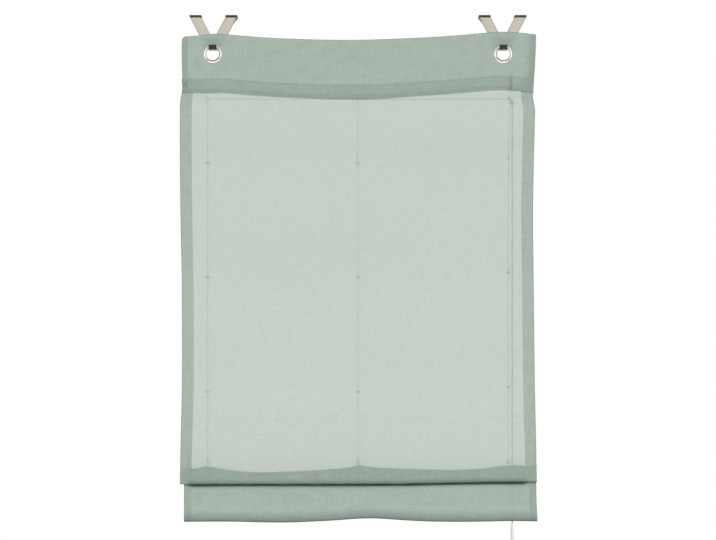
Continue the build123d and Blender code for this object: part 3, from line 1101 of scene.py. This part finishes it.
for side in ("left", "right"):
    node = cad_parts[f"v_hook_{side}"]
    low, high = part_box(node.name)
    middle_x = (low.x + high.x) / 2
    hook = bpy.data.objects.new(f"hook_{side}", node.data.copy())
    bpy.context.collection.objects.link(hook)
    hook.data.transform(node.matrix_world)
    arm_reach = high.x - middle_x - steel_width / 2
    for vertex in hook.data.vertices:
        below = -steel_thickness - vertex.co.z
        if vertex.co.y > rear_lip_from_y and below > 0:
            hand = 1 if vertex.co.x > middle_x else -1
            arm_x = middle_x + hand * arm_reach
            vertex.co.x = arm_x + (vertex.co.x - arm_x) * lip_narrowing - hand * arm_slope * below
    lengthwise = hook.data.uv_layers.new(name="grain")
    lean = atan(arm_slope)
    for loop in hook.data.loops:
        x, y, z = hook.data.vertices[loop.vertex_index].co
        hand = -1 if x < middle_x else 1
        x -= middle_x + hand * arm_reach
        across = x * cos(lean) - hand * z * sin(lean)
        along = z * cos(lean) + hand * x * sin(lean)
        lengthwise.data[loop.index].uv = (across, along + y)
    hook.data.materials.clear()
    hook.data.materials.append(steel)
    hook.data.materials.append(vinyl)
    for face in hook.data.polygons:
        face.material_index = int(face.center.y < dipped_before_y and face.center.z < dipped_below_z)
    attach(hook, "root")
    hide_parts(node.name)

    # A sleeve is a strip of vinyl bent over the saddle, down in front and behind.
    for hand in (-1, 1):
        sleeve_x = middle_x + hand * arm_reach
        front_y, rear_y, over_z = -steel_thickness, high.y, high.z
        section = [
            (front_y - 0.0003, 0.0006), (front_y - 0.0003, over_z - 0.0006),
            (front_y + 0.0006, over_z + 0.0013), (rear_y - 0.0006, over_z + 0.0013),
            (rear_y + 0.0003, over_z - 0.0006), (rear_y + 0.0003, -0.0010),
        ]
        bpy.ops.object.select_all(action="DESELECT")
        bpy.ops.mesh.primitive_grid_add(x_subdivisions=1, y_subdivisions=len(section) - 1, size=1)
        sleeve = bpy.context.object
        sleeve.name = f"hook_sleeve_{side}_{'left' if hand < 0 else 'right'}"
        for vertex in sleeve.data.vertices:
            y, z = section[round((vertex.co.y + 0.5) * (len(section) - 1))]
            vertex.co = (sleeve_x + vertex.co.x * (steel_width + 0.0006), y, z)
        for kind, settings in (
            ("SOLIDIFY", {"thickness": sleeve_wall, "offset": 1.0, "use_even_offset": True}),
            ("BEVEL", {"width": 0.0004, "segments": 2, "limit_method": "ANGLE"}),
        ):
            change = sleeve.modifiers.new(kind.lower(), kind)
            for key, value in settings.items():
                setattr(change, key, value)
            bpy.ops.object.modifier_apply(modifier=change.name)
        sleeve.data.shade_smooth()
        sleeve.data.materials.append(vinyl)
        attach(sleeve, "root")

# ---------------------------------------------------------------------------------------
# Eyelets: brass rings plated with polished nickel. Each is turned as one section round the
# bore, and its rear edge is clinched over a flat washer behind the cloth.
# ---------------------------------------------------------------------------------------
eyelet_steps = 96

# Polished nickel: warm white metal that mirrors the room, with a faint haze from tumbling.
nickel, nickel_shader, tumbling = speckled("polished_nickel", 400.0, 2.0, "e9e5d9", "f6f4ec", Metallic=1.0)
haze = add_node(
    nickel,
    "ShaderNodeMapRange",
    values={"To Min": 0.10, "To Max": 0.20},
    links={"Value": tumbling.outputs["Fac"]},
)
nickel.node_tree.links.new(haze.outputs["Result"], nickel_shader.inputs["Roughness"])

# The ring's section as (radius, height over the wall): from the bore over the crest, down
# the wide outer slope, under the flange, along the neck and over the clinched rear edge.
eyelet_section = [
    (17.5, 12.6), (17.5, 17.9), (17.65, 18.35), (18.0, 18.6), (18.6, 18.65), (19.6, 18.55), (20.8, 18.3),
    (22.0, 17.85), (23.1, 17.2), (24.2, 16.5), (25.1, 15.6), (25.5, 15.1), (25.2, 14.85), (19.7, 15.1),
    (19.7, 12.9), (20.3, 12.6), (20.1, 12.15), (19.4, 12.1), (18.0, 12.15),
]
for side, eye in zip(("left", "right"), eyelet_at):
    section = bpy.data.meshes.new(f"eyelet_{side}")
    count = len(eyelet_section)
    corners = [(r / 1000, 0, h / 1000) for r, h in eyelet_section]
    section.from_pydata(corners, [(k, (k + 1) % count) for k in range(count)], [])
    eyelet = bpy.data.objects.new(f"eyelet_{side}", section)
    bpy.context.collection.objects.link(eyelet)
    bpy.ops.object.select_all(action="DESELECT")
    eyelet.select_set(True)
    bpy.context.view_layer.objects.active = eyelet
    spun = eyelet.modifiers.new("spun", "SCREW")
    spun.steps = spun.render_steps = eyelet_steps
    spun.use_merge_vertices = True
    bpy.ops.object.modifier_apply(modifier="spun")
    eyelet.data.transform(Matrix.Translation(eye) @ Matrix.Rotation(pi / 2, 4, "X"))
    bpy.ops.object.mode_set(mode="EDIT")
    bpy.ops.mesh.select_all(action="SELECT")
    bpy.ops.mesh.normals_make_consistent(inside=False)
    bpy.ops.object.mode_set(mode="OBJECT")
    eyelet.data.shade_smooth()
    eyelet.data.materials.append(nickel)
    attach(eyelet, "root")
    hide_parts(f"eyelet_ring_{side}")
    finish_node(f"eyelet_washer_{side}", nickel)

# ---------------------------------------------------------------------------------------
# Rings: clear moulded plastic, 12 mm across, one row sewn on below another. Their wire
# bends the light away, so behind the lit cloth they look grey; that grey is painted shade in
# their colour, and the plastic is drawn nearly opaque.
# ---------------------------------------------------------------------------------------
clear, clear_shader, flow = speckled("clear_plastic", 250.0, 2.0, "48534d", "626c66", Roughness=0.18)
clear_body = add_node(
    clear, "ShaderNodeMapRange", values={"To Min": 0.92, "To Max": 1.0}, links={"Value": flow.outputs["Fac"]}
)
clear.node_tree.links.new(clear_body.outputs["Result"], clear_shader.inputs["Alpha"])
for side in sides:
    for row in range(1, 6):
        finish_node(f"ring_{side}_{row}", clear)

# ---------------------------------------------------------------------------------------
# Knots: tied in the cords themselves and pulled tight, one on each lowest ring, one that
# stops the cords under the header, and one inside the pull.
# ---------------------------------------------------------------------------------------
for node in ("hem_knot_left", "hem_knot_middle", "hem_knot_right", "stop_knot", "pull_knot"):
    finish_node(node, cord_material)

# ---------------------------------------------------------------------------------------
# Pull: a slim hollow cone on the cords' ends, moulded in pale grey plastic. The mould leaves
# it satin, with a very slight grain.
# ---------------------------------------------------------------------------------------
moulded = speckled("moulded_plastic", 900.0, 2.0, "bdbdc0", "cacace", (0.15, 0.0001), Roughness=0.38)[0]
finish_node("cord_pull", moulded)
